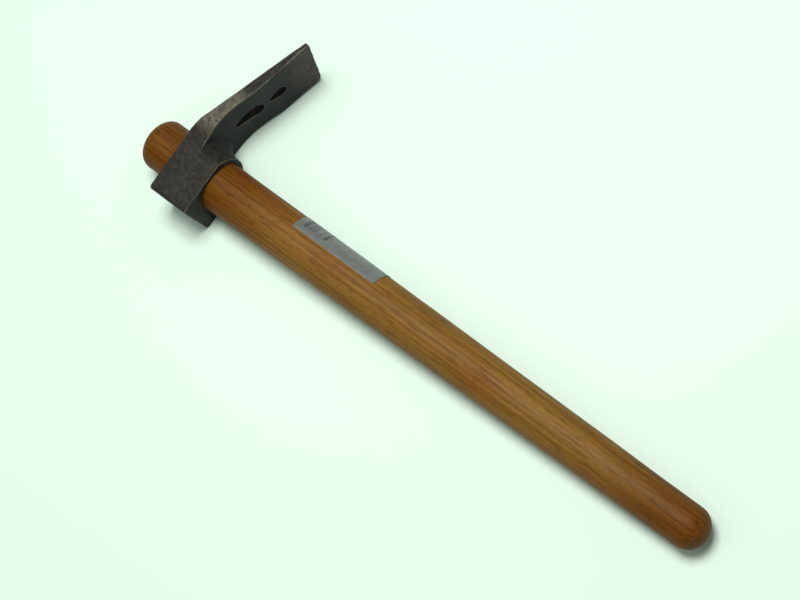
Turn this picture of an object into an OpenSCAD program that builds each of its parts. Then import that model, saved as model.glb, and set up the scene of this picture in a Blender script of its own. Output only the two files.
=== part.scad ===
// Brick hammer: a forged adze-style head on a long, straight, round wooden handle.
// The handle is pushed through the eye from the top and its domed end stands proud of the head.
// The hammer lies on its side: X runs from the poll to the blade, Y runs up the handle to its
// domed top, and Z points up. The origin is the centre of the striking face on the poll.

/* [Head] */
// Distance from the handle's axis to the striking face
poll_reach = 28.8; // [25:0.2:34]
// Height of the eye, measured along the handle
eye_height = 33; // [28:1:38]
// Width of the poll and the eye across their flat sides
head_width = 43; // [42:0.5:46]
// Distance from the handle's axis to the curved front of the eye
eye_front_x = 21.7; // [21.2:0.1:24]
// Distance from the handle's axis to the end of the flat sides
side_end_x = 10.5; // [6:0.5:14]
// Corner radius of the striking face
poll_corner_r = 2.5; // [1:0.5:4]

/* [Blade] */
// Distance from the handle's axis to the long corner of the cutting edge
blade_reach = 111; // [102:1:125]
// How far the short corner of the cutting edge falls behind the long one
edge_skew = 9; // [0:1:16]
// Radius of the worn, rounded short corner
worn_corner_r = 5.5; // [2:0.5:8]
// Width of the blade where it leaves the eye
blade_root_w = 49; // [46:1:56]
// Width of the blade at the cutting edge
blade_edge_w = 51; // [47:1:60]
// Thickness of the blade at its root
blade_root_t = 15.8; // [12:0.2:17]
// Angle by which the blade drops towards the handle
blade_drop = 21; // [18:0.5:24]
// Length of the bevel ground on the inner face
bevel_length = 45; // [20:1:46]
// Thickness left at the cutting edge
edge_t = 3.4; // [1:0.1:4]

/* [Nail slots] */
// Places of the narrow and the wide end of the long slot, from the handle's axis
long_slot_x = [41.5, 55.5]; // [38:0.5:58]
// Radii of the narrow and the wide end of the long slot
long_slot_r = [2.8, 6.3]; // [2.4:0.1:6.6]
// Places of the narrow and the wide end of the short slot
short_slot_x = [69, 75.5]; // [67:0.5:80]
// Radii of the narrow and the wide end of the short slot
short_slot_r = [2.6, 4.8]; // [2.4:0.1:5]

/* [Handle] */
// Length of the handle below the eye, without its rounded butt
shaft_length = 395; // [300:5:450]
// Radius of the handle just below the eye
shaft_r = 18; // [17.5:0.1:18.2]
// Radius of the handle where the butt starts
butt_r = 14.7; // [13:0.1:17]
// Length of the rounded butt
butt_length = 13.4; // [8:0.2:18]
// Radius of the thicker top that stops the head from flying off
top_r = 18.4; // [18.2:0.1:18.6]
// Length of handle between the head and the dome
proud_length = 20; // [8:1:30]
// Height of the dome
dome_height = 11; // [6:1:16]

/* [Label] */
// Distance from the eye down to the top of the paper label
label_gap = 67; // [20:1:150]
// Length of the label along the handle
label_length = 71; // [40:1:100]
// Width of the label before it is wrapped round the handle
label_width = 38; // [20:1:50]
// Angle from the side that faces up to the label's edge
label_turn = 24; // [0:1:90]
// Thickness of the label
label_t = 0.3; // [0.2:0.05:0.5]

/* [Hidden] */
$fn = 96;
small_round_fn = 40;
arc_steps = 10;
overlap = 1;
top_bend_r = 44;
inner_bend_r = 67;
inner_bend_x = 28;
flare_end_x = 30;
eye_arc_x = (pow(side_end_x, 2) + pow(head_width / 2, 2) - pow(eye_front_x, 2))
    / (2 * (side_end_x - eye_front_x));
eye_arc_r = eye_front_x - eye_arc_x;
fillet_x = 8;
fillet_foot_z = 2;
fillet_waist_z = 10;
fillet_waist_r = 16;
fillet_top_r = 23;
shaft_swell = 1.25;
under_blade_z = eye_height - blade_root_t;
top_bend_x = flare_end_x - top_bend_r * sin(blade_drop);
long_side_y = -blade_edge_w / 2;

// Lays the upright hammer on its side and puts the origin on the striking face.
module lie_down() {
    translate([poll_reach, 0, 0])
        rotate([-90, 0, 0])
            translate([0, 0, -eye_height / 2])
                children();
}

// Points of a bend that starts level at start and turns down by angle.
function bend_down(start, r, angle) =
    [for (i = [0:arc_steps]) let (a = angle * i / arc_steps)
        [start[0] + r * sin(a), start[1] - r * (1 - cos(a))]];

// Height at x on the straight stretch that follows a bend.
function height_after(bend, angle, x) =
    bend[arc_steps][1] - (x - bend[arc_steps][0]) * tan(angle);

// Side view of the blade: a curved root, a straight body and a bevel on the inner face.
module blade_profile() {
    outer = bend_down([top_bend_x, eye_height], top_bend_r, blade_drop);
    inner = bend_down([inner_bend_x, under_blade_z], inner_bend_r, blade_drop);
    edge_z = height_after(outer, blade_drop, blade_reach);
    bevel_x = blade_reach - bevel_length;
    bevel_z = height_after(inner, blade_drop, bevel_x);
    polygon(concat(
        [[0, eye_height]], outer,
        [[blade_reach, edge_z], [blade_reach, edge_z - edge_t], [bevel_x, bevel_z]],
        [for (i = [arc_steps:-1:0]) inner[i]], [[0, under_blade_z]]));
}

// Blade seen along the handle: flush with the eye, then flared, with a skewed cutting edge.
module blade_plan() {
    polygon([[0, -head_width / 2], [side_end_x, -head_width / 2], [flare_end_x, -blade_root_w / 2],
             [flare_end_x, blade_root_w / 2], [side_end_x, head_width / 2], [0, head_width / 2]]);
    hull() {
        translate([flare_end_x - overlap, -blade_root_w / 2])
            square([overlap, blade_root_w]);
        translate([blade_reach - overlap, long_side_y])
            square([overlap, overlap]);
        translate([blade_reach - edge_skew - worn_corner_r, blade_edge_w / 2 - worn_corner_r])
            circle(worn_corner_r);
    }
}

module blade() {
    intersection() {
        rotate([90, 0, 0])
            linear_extrude(blade_edge_w + 2 * overlap, center = true)
                blade_profile();
        translate([0, 0, -eye_height])
            linear_extrude(2 * eye_height)
                blade_plan();
    }
}

// Block behind the eye that ends in the square striking face.
module poll() {
    corner = [poll_corner_r - poll_reach, head_width / 2 - poll_corner_r];
    linear_extrude(eye_height)
        hull() {
            for (side = [-1, 1])
                translate([corner[0], side * corner[1]])
                    circle(poll_corner_r, $fn = small_round_fn);
            translate([-overlap, -head_width / 2])
                square([overlap, head_width]);
        }
}

// Curved front of the eye, which meets the flat sides in a clear corner.
module eye_front() {
    intersection() {
        translate([eye_arc_x, 0, 0])
            cylinder(h = eye_height, r = eye_arc_r);
        translate([-overlap, -head_width / 2, 0])
            cube([eye_front_x + 2 * overlap, head_width, eye_height]);
    }
}

// Thickening that carries the eye's wall out to the underside of the blade.
module blade_fillet() {
    intersection() {
        translate([fillet_x, 0, 0])
            rotate_extrude()
                polygon([[0, fillet_foot_z], [eye_front_x - fillet_x - overlap, fillet_foot_z],
                         [fillet_waist_r, fillet_waist_z],
                         [fillet_top_r, under_blade_z + overlap], [0, under_blade_z + overlap]]);
        linear_extrude(eye_height)
            blade_plan();
    }
}

// Teardrop slot that grips the shank of a nail at its narrow end.
module nail_slot(ends_x, ends_r) {
    translate([0, 0, -eye_height])
        linear_extrude(3 * eye_height)
            hull()
                for (i = [0, 1])
                    translate([ends_x[i], 0])
                        circle(ends_r[i], $fn = small_round_fn);
}

// Radius of the shaft at a fraction of its length below the eye.
function shaft_radius(fraction) = shaft_r - (shaft_r - butt_r) * pow(fraction, shaft_swell);

// Solid of the whole handle, upright.
module handle_body() {
    dome_base = eye_height + proud_length;
    rotate_extrude()
        polygon(concat(
            [for (i = [0:arc_steps]) let (a = 90 * i / arc_steps)
                [butt_r * sin(a), -shaft_length - butt_length * cos(a)]],
            [for (i = [arc_steps - 1:-1:0])
                [shaft_radius(i / arc_steps), -shaft_length * i / arc_steps]],
            [for (i = [0:arc_steps]) let (a = 90 * i / arc_steps)
                [top_r * cos(a), dome_base + dome_height * sin(a)]]));
}

module head() {
    color("dimgray")
        lie_down()
            difference() {
                union() {
                    poll();
                    eye_front();
                    blade();
                    blade_fillet();
                }
                handle_body();
                nail_slot(long_slot_x, long_slot_r);
                nail_slot(short_slot_x, short_slot_r);
            }
}

module handle() {
    color("peru")
        lie_down()
            handle_body();
}

// Paper wrapped part of the way round the handle, following its taper.
module label() {
    ends_z = [-label_gap, -label_gap - label_length];
    outer_r = [for (z = ends_z) shaft_radius(-z / shaft_length) + label_t];
    color("gainsboro")
        lie_down()
            difference() {
                rotate([0, 0, label_turn - 90])
                    rotate_extrude(angle = label_width / shaft_r * 180 / PI)
                        polygon([[outer_r[0] - overlap, ends_z[0]], [outer_r[0], ends_z[0]],
                                 [outer_r[1], ends_z[1]], [outer_r[1] - overlap, ends_z[1]]]);
                handle_body();
            }
}

head();
handle();
label();
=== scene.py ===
"""Looks of the brick hammer: a forged steel head, a varnished wooden handle and a paper label.

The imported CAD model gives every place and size. Its frame is in metres: X runs from the striking
face to the blade, Y up the handle, and Z up from the side that the hammer lies on.
"""
import math

import bmesh
import bpy
import numpy as np
from mathutils import Matrix, Vector, noise
from mathutils.bvhtree import BVHTree


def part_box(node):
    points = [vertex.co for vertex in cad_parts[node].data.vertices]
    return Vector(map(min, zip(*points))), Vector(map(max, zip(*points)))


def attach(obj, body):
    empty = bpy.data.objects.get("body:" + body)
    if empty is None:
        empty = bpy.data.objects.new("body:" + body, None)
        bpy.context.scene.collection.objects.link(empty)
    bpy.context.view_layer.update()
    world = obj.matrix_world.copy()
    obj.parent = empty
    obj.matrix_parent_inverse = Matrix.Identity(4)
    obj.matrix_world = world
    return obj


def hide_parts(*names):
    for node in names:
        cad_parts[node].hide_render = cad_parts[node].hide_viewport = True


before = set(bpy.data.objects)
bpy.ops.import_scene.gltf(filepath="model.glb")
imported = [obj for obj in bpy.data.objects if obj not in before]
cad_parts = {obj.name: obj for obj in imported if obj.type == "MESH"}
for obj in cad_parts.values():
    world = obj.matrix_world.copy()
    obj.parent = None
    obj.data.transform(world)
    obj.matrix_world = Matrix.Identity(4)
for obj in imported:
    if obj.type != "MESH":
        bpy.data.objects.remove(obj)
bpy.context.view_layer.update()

MM = 0.001

# The handle's axis runs along Y through this point.
HANDLE_LOW, HANDLE_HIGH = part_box("handle")
AXIS_X = (HANDLE_LOW.x + HANDLE_HIGH.x) / 2
AXIS_Z = (HANDLE_LOW.z + HANDLE_HIGH.z) / 2
HEAD_LOW, HEAD_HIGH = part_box("head")
FLANK_Z = HEAD_HIGH.z - 0.5 * MM
BLADE_ROOT_X = AXIS_X + 30 * MM
LABEL_LOW, LABEL_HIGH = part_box("label")

# Camera, from above and from the butt's side, turned so that the handle crosses the picture.
CAMERA_AT = Vector((AXIS_X + 0.0168, -0.6965, 1.3689))
CAMERA_AIM = Vector((AXIS_X + 0.0088, -0.1699, 0.0))
CAMERA_ROLL = math.radians(-55.05)
CAMERA_LENS = 101.2
SENSOR_WIDTH = 36.0

# Two softboxes above the hammer, with power in watts, and an even light from all around.
KEY_AT, KEY_SIZE, KEY_POWER = (0.45, 0.0, 1.75), 0.7, 30
FILL_AT, FILL_SIZE, FILL_POWER = (-0.6, 0.6, 1.6), 1.4, 4
AMBIENT_COLOUR = (0.95, 1.0, 0.96, 1.0)
AMBIENT_STRENGTH = 0.21


# ---------------------------------------------------------------------------------------------
# Material tools

class Paint:
    """A material and short calls for the nodes that build its colour, roughness and bump."""

    def __init__(self, name):
        self.material = bpy.data.materials.new(name)
        self.material.use_nodes = True
        self.tree = self.material.node_tree
        self.shader = self.tree.nodes["Principled BSDF"]
        self.place = self.tree.nodes.new("ShaderNodeTexCoord").outputs["Object"]

    def feed(self, socket, value):
        """Wires value into a socket when it is another node's output, or sets it as a constant."""
        if isinstance(value, bpy.types.NodeSocket):
            self.tree.links.new(value, socket)
        else:
            socket.default_value = value

    def node(self, kind, inputs=None, **settings):
        made = self.tree.nodes.new("ShaderNode" + kind)
        for key, value in settings.items():
            setattr(made, key, value)
        for key, value in (inputs or {}).items():
            self.feed(made.inputs[key], value)
        return made

    def stretched(self, scale, offset=(0.0, 0.0, 0.0), vector=None):
        """The place on the object, moved by offset and then scaled along each axis."""
        moved = self.node("VectorMath", {0: vector or self.place, 1: offset}, operation="ADD")
        return self.node("VectorMath", {0: moved.outputs[0], 1: scale}, operation="MULTIPLY").outputs[0]

    def noise(self, vector, scale=1.0, detail=4.0, roughness=0.5, distortion=0.0):
        inputs = {"Vector": vector, "Scale": scale, "Detail": detail, "Roughness": roughness,
                  "Distortion": distortion}
        return self.node("TexNoise", inputs).outputs["Fac"]

    def math(self, operation, first, second=0.0, clamp=False):
        made = self.node("Math", {0: first, 1: second}, operation=operation, use_clamp=clamp)
        return made.outputs[0]

    def between(self, value, low, high):
        """0 below low, 1 above high, and smooth in between."""
        inputs = {"Value": value, "From Min": low, "From Max": high}
        return self.node("MapRange", inputs, interpolation_type="SMOOTHSTEP").outputs["Result"]

    def mix(self, amount, first, second, blend="MIX"):
        made = self.node("Mix", {0: amount, 6: first, 7: second}, data_type="RGBA", blend_type=blend)
        return made.outputs[2]

    def split(self, vector):
        return self.node("SeparateXYZ", {0: vector}).outputs

    def bump(self, height, distance, strength=1.0, normal=None):
        inputs = {"Height": height, "Distance": distance, "Strength": strength}
        if normal:
            inputs["Normal"] = normal
        return self.node("Bump", inputs).outputs["Normal"]

    def finish(self, **sockets):
        """Sets the shader's sockets, named with underscores for spaces."""
        for key, value in sockets.items():
            self.feed(self.shader.inputs[key.replace("_", " ")], value)
        return self.material


def rgb(red, green, blue):
    return (red, green, blue, 1.0)


# ---------------------------------------------------------------------------------------------
# Materials

def varnished_wood():
    """Straight-grained honey-brown wood under a satin varnish, darkened towards both ends by painted shade.
    """
    paint = Paint("varnished_wood")
    axis = (-AXIS_X, 0.0, -AXIS_Z)
    wander = paint.noise(paint.stretched((30.0, 5.0, 30.0), axis), detail=2.0)
    pith = (-AXIS_X + 34 * MM, 0.0, -AXIS_Z + 21 * MM)
    rings = paint.node("TexWave", {"Vector": paint.stretched((1.0, 0.045, 1.0), pith), "Scale": 95.0,
                                   "Distortion": 5.0, "Detail": 3.0, "Detail Scale": 0.9},
                       wave_type="RINGS", rings_direction="Y").outputs["Fac"]
    streaks = paint.noise(paint.stretched((420.0, 9.0, 420.0)), detail=5.0, roughness=0.6)
    fibres = paint.noise(paint.stretched((1900.0, 40.0, 1900.0)), detail=3.0, roughness=0.6)
    pores = paint.between(paint.noise(paint.stretched((2600.0, 130.0, 2600.0)), detail=1.0), 0.62, 0.72)
    dashes = paint.between(paint.noise(paint.stretched((900.0, 75.0, 900.0)), detail=2.0), 0.56, 0.68)
    blotches = paint.noise(paint.stretched((34.0, 11.0, 34.0)), detail=3.0)

    honey = paint.mix(paint.between(wander, 0.35, 0.65), rgb(0.215, 0.098, 0.013), rgb(0.170, 0.072, 0.007))
    grain = paint.mix(paint.math("MULTIPLY", rings, 0.55), honey, rgb(0.105, 0.040, 0.004))
    lively = paint.mix(paint.between(streaks, 0.35, 0.70), grain, rgb(0.262, 0.138, 0.024))
    red = paint.math("MULTIPLY", paint.between(blotches, 0.56, 0.74), 0.45)
    warm = paint.mix(red, lively, rgb(0.210, 0.060, 0.005))
    fine = paint.mix(paint.math("MULTIPLY", paint.between(fibres, 0.5, 0.8), 0.35), warm,
                     rgb(0.115, 0.048, 0.009))
    porous = paint.mix(paint.math("MULTIPLY", pores, 0.6), fine, rgb(0.050, 0.020, 0.006))
    dashed = paint.mix(paint.math("MULTIPLY", dashes, 0.55), porous, rgb(0.080, 0.034, 0.008))

    # Painted shade: the wood is darkened towards the head and towards the butt, leaving the middle lighter
    # as if it caught more light.
    along = paint.split(paint.place)[1]
    near_head = paint.between(along, -95 * MM, -25 * MM)
    near_butt = paint.between(along, HANDLE_LOW.y + 90 * MM, HANDLE_LOW.y + 15 * MM)
    painted_end_shade = paint.math("MAXIMUM", near_head, near_butt)
    colour = paint.mix(painted_end_shade, dashed, rgb(0.66, 0.47, 0.10), "MULTIPLY")

    roughness = paint.math("ADD", paint.math("MULTIPLY", streaks, 0.22), 0.44)
    grooves = paint.math("SUBTRACT", paint.math("MULTIPLY", fibres, 0.5), pores)
    skin = paint.bump(grooves, 0.00012, 0.5)
    return paint.finish(Base_Color=colour, Roughness=roughness, Normal=skin, Coat_Weight=0.02,
                        Coat_Roughness=0.30, Specular_IOR_Level=0.13)


def forged_steel():
    """Dark forging scale, rubbed to bare metal on the edges, with painted shade on the blade's underside, a
    painted sheen of bare metal on the blade's sides and a painted glint at its corners.
    """
    paint = Paint("forged_steel")
    broad = paint.noise(paint.place, 55.0, 5.0, 0.55)
    scale_marks = paint.noise(paint.place, 330.0, 6.0, 0.62, 0.4)
    pits = paint.between(paint.noise(paint.place, 900.0, 2.0), 0.60, 0.72)
    scratches = paint.noise(paint.stretched((1500.0, 1500.0, 90.0)), detail=2.0)

    dark = paint.mix(paint.between(broad, 0.35, 0.68), rgb(0.017, 0.014, 0.011), rgb(0.028, 0.026, 0.020))
    tinted = paint.mix(paint.between(scale_marks, 0.42, 0.75), dark, rgb(0.043, 0.041, 0.030))
    # Painted shade and painted light on the blade's underside: its colour is darkened near the root and
    # lightened towards the tip.
    near_tip = paint.between(paint.split(paint.place)[0], HEAD_HIGH.x - 34 * MM, HEAD_HIGH.x - 8 * MM)
    underside_shade_and_light = paint.mix(near_tip, rgb(0.30, 0.36, 0.37), rgb(2.40, 1.90, 2.20))
    underside_shaded = paint.mix(painted_underside_shade(paint), tinted, underside_shade_and_light, "MULTIPLY")
    pitted = paint.mix(paint.math("MULTIPLY", pits, 0.6), underside_shaded, rgb(0.010, 0.009, 0.008))

    wear_mark = paint.node("Attribute", attribute_name="wear").outputs["Fac"]
    ragged = paint.math("ADD", wear_mark, paint.math("MULTIPLY", scale_marks, 0.5))
    edge_wear = paint.math("MULTIPLY", paint.between(ragged, 0.60, 1.05), 0.85)
    # Painted sheen: patches of bare metal painted on the blade's flanks near the root, where they catch the
    # light.
    patchy_mask = paint.math("MULTIPLY", painted_flank_sheen(paint), paint.between(scale_marks, 0.25, 0.6))
    # Painted glint: bright bare-metal specks painted at the corners of the cutting edge.
    corner_glint = paint.math("MULTIPLY", painted_corner_glint(paint), pits)
    # wear joins the real edge wear with the painted flank sheen and the painted corner glint, all shown as
    # bare metal.
    wear = paint.math("MAXIMUM", paint.math("MAXIMUM", edge_wear, patchy_mask), corner_glint)
    bare = paint.mix(scratches, rgb(0.085, 0.080, 0.055), rgb(0.150, 0.142, 0.108))
    colour = paint.mix(wear, pitted, bare)

    metallic = paint.math("ADD", paint.math("MULTIPLY", wear, 0.5), 0.05)
    roughness = paint.math("SUBTRACT", paint.math("ADD", paint.math("MULTIPLY", broad, 0.25), 0.42),
                           paint.math("MULTIPLY", wear, 0.16))
    relief = paint.math("SUBTRACT", scale_marks, paint.math("MULTIPLY", pits, 0.5))
    skin = paint.bump(relief, 0.00035, 0.55)
    return paint.finish(Base_Color=colour, Metallic=metallic, Roughness=roughness, Normal=skin,
                        Specular_IOR_Level=0.16, Coat_Weight=0.01, Coat_Roughness=0.30)


def painted_flank_sheen(paint):
    """Painted sheen: how much of a lighter bare-metal tone is painted on the flanks of the blade near its
    root, where they catch the light, from 0 to 1.
    """
    x, _, z = paint.split(paint.place)[:3]
    flank = paint.between(paint.math("ABSOLUTE", z), FLANK_Z - 2.5 * MM, FLANK_Z - 0.8 * MM)
    out = paint.between(x, BLADE_ROOT_X - 14 * MM, BLADE_ROOT_X + 2 * MM)
    fade = paint.between(x, BLADE_ROOT_X + 36 * MM, BLADE_ROOT_X + 22 * MM)
    return paint.math("MULTIPLY", flank, paint.math("MULTIPLY", out, fade))


def painted_underside_shade(paint):
    """Painted shade on the underside of the blade, the faces turned towards the butt, from 0 to 1."""
    x = paint.split(paint.place)[0]
    normal = paint.node("TexCoord").outputs["Normal"]
    down = paint.between(paint.split(normal)[1], -0.3, -0.8)
    out = paint.between(x, AXIS_X + 14 * MM, AXIS_X + 22 * MM)
    return paint.math("MULTIPLY", down, out)


def painted_corner_glint(paint):
    """Painted glint: how near a point is to the corners of the cutting edge, where bright bare-metal specks
    are painted as if catching the light, from 0 to 1.
    """
    x, _, z = paint.split(paint.place)[:3]
    tip = paint.between(x, HEAD_HIGH.x - 18 * MM, HEAD_HIGH.x - 6 * MM)
    flank = paint.between(paint.math("ABSOLUTE", z), FLANK_Z - 9 * MM, FLANK_Z - 3 * MM)
    return paint.math("MULTIPLY", tip, flank)


def label_paper():
    """Coated paper, white darkened to grey by painted shade, with a block of plain bars across it, and no
    lettering.
    """
    paint = Paint("label_paper")
    along = paint.split(paint.place)[1]
    from_top = paint.math("SUBTRACT", LABEL_HIGH.y, along)
    bar_width, block_top, block_foot = 0.75 * MM, 5 * MM, 26 * MM
    step = paint.math("FLOOR", paint.math("MULTIPLY", from_top, 1 / bar_width))
    chance = paint.node("TexWhiteNoise", {"W": step}, noise_dimensions="1D").outputs["Value"]
    bars = paint.math("GREATER_THAN", chance, 0.48)
    block = paint.math("MULTIPLY", paint.math("GREATER_THAN", from_top, block_top),
                       paint.math("LESS_THAN", from_top, block_foot))
    round_handle = paint.node("Attribute", attribute_name="across").outputs["Fac"]
    inside = paint.math("MULTIPLY", paint.math("GREATER_THAN", round_handle, 0.14),
                        paint.math("LESS_THAN", round_handle, 0.80))
    ink = paint.math("MULTIPLY", paint.math("MULTIPLY", bars, block), inside)

    patchy_mask = paint.noise(paint.place, 260.0, 4.0, 0.6)
    # Painted shade: the paper's colours are grey, darker than the white paper itself.
    paper = paint.mix(paint.between(patchy_mask, 0.35, 0.7), rgb(0.127, 0.133, 0.124), rgb(0.169, 0.176, 0.163))
    colour = paint.mix(paint.math("MULTIPLY", ink, 0.8), paper, rgb(0.035, 0.035, 0.04))
    fibre = paint.noise(paint.place, 1800.0, 3.0)
    return paint.finish(Base_Color=colour, Roughness=0.42, Normal=paint.bump(fibre, 0.00004, 0.4),
                        Specular_IOR_Level=0.5)


def pale_floor():
    paint = Paint("pale_floor")
    tone = paint.noise(paint.place, 1.2, 2.0)
    colour = paint.mix(tone, rgb(0.72, 0.91, 0.77), rgb(0.78, 0.93, 0.82))
    return paint.finish(Base_Color=colour, Roughness=0.9, Specular_IOR_Level=0.1)


# ---------------------------------------------------------------------------------------------
# Meshes

def new_object(name, mesh, material):
    piece = bpy.data.objects.new(name, mesh)
    bpy.context.scene.collection.objects.link(piece)
    mesh.materials.clear()
    mesh.materials.append(material)
    for face in mesh.polygons:
        face.use_smooth = True
    return piece


def handle_radius():
    """A function that gives the handle's radius at any place along it, read off the CAD handle."""
    points = np.array([v.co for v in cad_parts["handle"].data.vertices])
    radii = np.hypot(points[:, 0] - AXIS_X, points[:, 2] - AXIS_Z)
    order = np.argsort(points[:, 1])
    return lambda y: float(np.interp(y, points[order, 1], radii[order]))


def round_point(y, angle, radius):
    """A point at a distance from the handle's axis. Angle 0 faces up and 90 degrees faces the blade."""
    return Vector((AXIS_X + radius * math.sin(angle), y, AXIS_Z + radius * math.cos(angle)))


def turned_handle(radius_at):
    """The handle as a fine lathed skin, a little uneven as hand-finished wood is."""
    around, along, cap_rings = 144, 320, 14
    uneven, pull_in = 0.12 * MM, 0.12 * MM
    low, high = HANDLE_LOW.y, HANDLE_HIGH.y
    cap = 12 * MM
    lumps_across, lumps_along = 2.2, 28
    from_tip = [cap * (1 - math.cos(math.pi / 2 * i / cap_rings)) for i in range(1, cap_rings)]
    stations = [low + step for step in from_tip]
    stations += [low + cap + (high - low - 2 * cap) * i / along for i in range(along + 1)]
    stations += [high - step for step in reversed(from_tip)]
    mesh = bmesh.new()
    rings = []
    for y in stations:
        ring = []
        for i in range(around):
            angle = math.tau * i / around
            spot = round_point(y, angle, 1.0)
            lump = noise.noise(Vector((spot.x * lumps_across, y * lumps_along, spot.z * lumps_across)))
            ring.append(mesh.verts.new(round_point(y, angle, radius_at(y) - pull_in + uneven * lump)))
        rings.append(ring)
    for near, far in zip(rings, rings[1:]):
        for i in range(around):
            j = (i + 1) % around
            mesh.faces.new((near[i], near[j], far[j], far[i]))
    for ring, y in ((rings[0], low), (rings[-1], high)):
        tip = mesh.verts.new((AXIS_X, y, AXIS_Z))
        for i in range(around):
            mesh.faces.new((ring[i], ring[(i + 1) % around], tip))
    bmesh.ops.recalc_face_normals(mesh, faces=mesh.faces)
    data = bpy.data.meshes.new("turned_handle")
    mesh.to_mesh(data)
    mesh.free()
    return data


VOXEL = 0.5 * MM


def forged_head():
    """The CAD head remeshed finely, its edges eased and its faces left slightly wavy by the hammer."""
    source = bpy.data.objects.new("head_source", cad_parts["head"].data.copy())
    bpy.context.scene.collection.objects.link(source)
    remesh = source.modifiers.new("fine", "REMESH")
    remesh.mode = "VOXEL"
    remesh.voxel_size = VOXEL
    ease = source.modifiers.new("ease", "SMOOTH")
    ease.factor = 0.5
    ease.iterations = 5
    bpy.context.view_layer.update()
    baked = source.evaluated_get(bpy.context.evaluated_depsgraph_get())
    data = bpy.data.meshes.new_from_object(baked)
    bpy.data.objects.remove(source)

    wave, dent = 0.22 * MM, 0.10 * MM
    waves_per_metre, dents_per_metre, mostly_inward = 75, 260, 0.4
    normals = [v.normal.copy() for v in data.vertices]
    for vertex, normal in zip(data.vertices, normals):
        slow = noise.noise(vertex.co * waves_per_metre)
        quick = noise.noise(vertex.co * dents_per_metre)
        vertex.co += normal * (wave * (slow - mostly_inward) + dent * quick)
    mark_wear(data)
    return data


def mark_wear(data):
    """Stores how sharply the surface turns outward at each point, where scale rubs off first."""
    mesh = bmesh.new()
    mesh.from_mesh(data)
    spread_steps, gain = 3, 12
    sharp = []
    for vertex in mesh.verts:
        around = [edge.other_vert(vertex).co for edge in vertex.link_edges]
        middle = sum(around, Vector()) / len(around)
        sharp.append((vertex.co - middle).dot(vertex.normal) / VOXEL)
    for _ in range(spread_steps):
        sharp = [0.5 * sharp[v.index] + 0.5 * sum(sharp[e.other_vert(v).index] for e in v.link_edges)
                 / len(v.link_edges) for v in mesh.verts]
    mesh.free()
    wear = data.attributes.new("wear", "FLOAT", "POINT")
    wear.data.foreach_set("value", [min(1.0, max(0.0, gain * value)) for value in sharp])


def paper_label(radius_at):
    """A thin sheet with rounded corners, wrapped on the handle where the CAD label lies."""
    points = [v.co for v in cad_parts["label"].data.vertices]
    angles = [math.atan2(p.x - AXIS_X, p.z - AXIS_Z) % math.tau for p in points]
    first, last = min(angles), max(angles)
    low, high = LABEL_LOW.y, LABEL_HIGH.y
    across, along = 60, 90
    corner, lift, thickness = 1.2 * MM, 0.06 * MM, 0.14 * MM
    mesh = bmesh.new()
    share = mesh.verts.layers.float.new("across")
    grid = []
    for i in range(along + 1):
        y = low + (high - low) * i / along
        end = min(y - low, high - y)
        cut = corner - math.sqrt(corner ** 2 - (corner - min(end, corner)) ** 2)
        inset = cut / radius_at(y)
        row = []
        for j in range(across + 1):
            angle = first + inset + (last - first - 2 * inset) * j / across
            vertex = mesh.verts.new(round_point(y, angle, radius_at(y) + lift))
            vertex[share] = (angle - first) / (last - first)
            row.append(vertex)
        grid.append(row)
    for lower, upper in zip(grid, grid[1:]):
        for j in range(across):
            mesh.faces.new((lower[j], lower[j + 1], upper[j + 1], upper[j]))
    bmesh.ops.recalc_face_normals(mesh, faces=mesh.faces)
    data = bpy.data.meshes.new("paper_label")
    mesh.to_mesh(data)
    mesh.free()
    piece = new_object("paper_label", data, label_paper())
    sheet = piece.modifiers.new("sheet", "SOLIDIFY")
    sheet.thickness = thickness
    sheet.offset = 1.0
    return piece


# ---------------------------------------------------------------------------------------------
# Stage

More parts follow.
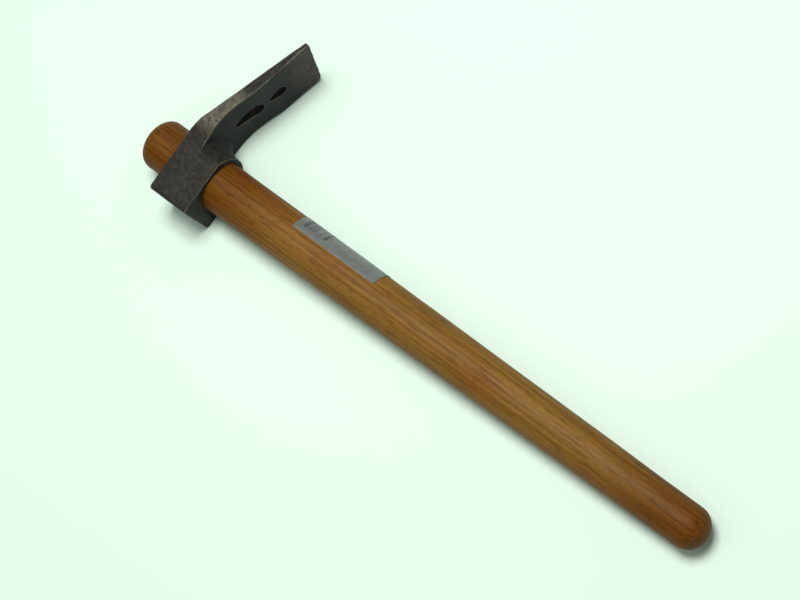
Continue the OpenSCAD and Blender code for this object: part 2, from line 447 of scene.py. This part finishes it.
def lay_floor():
    """A floor under the three points that the hammer rests on: the poll, the blade and the butt."""
    balance = Vector((0.048, -0.066, 0.0))
    hull = bmesh.new()
    for name in ("head", "handle"):
        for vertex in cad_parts[name].data.vertices:
            hull.verts.new(vertex.co)
    bmesh.ops.convex_hull(hull, input=hull.verts)
    spot, normal, _, _ = BVHTree.FromBMesh(hull).ray_cast(balance, Vector((0, 0, -1)))
    hull.free()
    if normal.z < 0:
        normal = -normal
    reach = 6.0
    turn = Vector((0, 0, 1)).rotation_difference(normal).to_matrix().to_4x4()
    place = Matrix.Translation(spot) @ turn
    corners = [place @ Vector((x * reach, y * reach, 0)) for x, y in ((-1, -1), (1, -1), (1, 1), (-1, 1))]
    mesh = bpy.data.meshes.new("floor")
    mesh.from_pydata(corners, [], [(0, 1, 2, 3)])
    floor = new_object("floor", mesh, pale_floor())


def aim(thing, at, target, roll=0.0):
    look = (target - at).to_track_quat("-Z", "Y").to_matrix().to_4x4()
    thing.matrix_world = Matrix.Translation(at) @ look @ Matrix.Rotation(roll, 4, "Z")


def add_camera():
    data = bpy.data.cameras.new("camera")
    data.sensor_width = SENSOR_WIDTH
    data.lens = CAMERA_LENS
    camera = bpy.data.objects.new("camera", data)
    bpy.context.scene.collection.objects.link(camera)
    aim(camera, CAMERA_AT, CAMERA_AIM, CAMERA_ROLL)
    bpy.context.scene.camera = camera


def add_softbox(name, at, size, power):
    data = bpy.data.lights.new(name, "AREA")
    data.shape = "SQUARE"
    data.size = size
    data.energy = power
    light = bpy.data.objects.new(name, data)
    bpy.context.scene.collection.objects.link(light)
    aim(light, Vector(at), CAMERA_AIM)


def add_lights():
    add_softbox("key", KEY_AT, KEY_SIZE, KEY_POWER)
    add_softbox("fill", FILL_AT, FILL_SIZE, FILL_POWER)
    world = bpy.data.worlds.new("studio")
    world.use_nodes = True
    background = world.node_tree.nodes["Background"]
    background.inputs["Color"].default_value = AMBIENT_COLOUR
    background.inputs["Strength"].default_value = AMBIENT_STRENGTH
    bpy.context.scene.world = world
    bpy.context.scene.view_settings.view_transform = "Standard"


# ---------------------------------------------------------------------------------------------
# The hammer

add_camera()
add_lights()
lay_floor()
radius = handle_radius()

handle = new_object("turned_handle", turned_handle(radius), varnished_wood())
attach(handle, "root")
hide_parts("handle")

head = new_object("forged_head", forged_head(), forged_steel())
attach(head, "root")
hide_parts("head")

label = paper_label(radius)
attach(label, "root")
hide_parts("label")
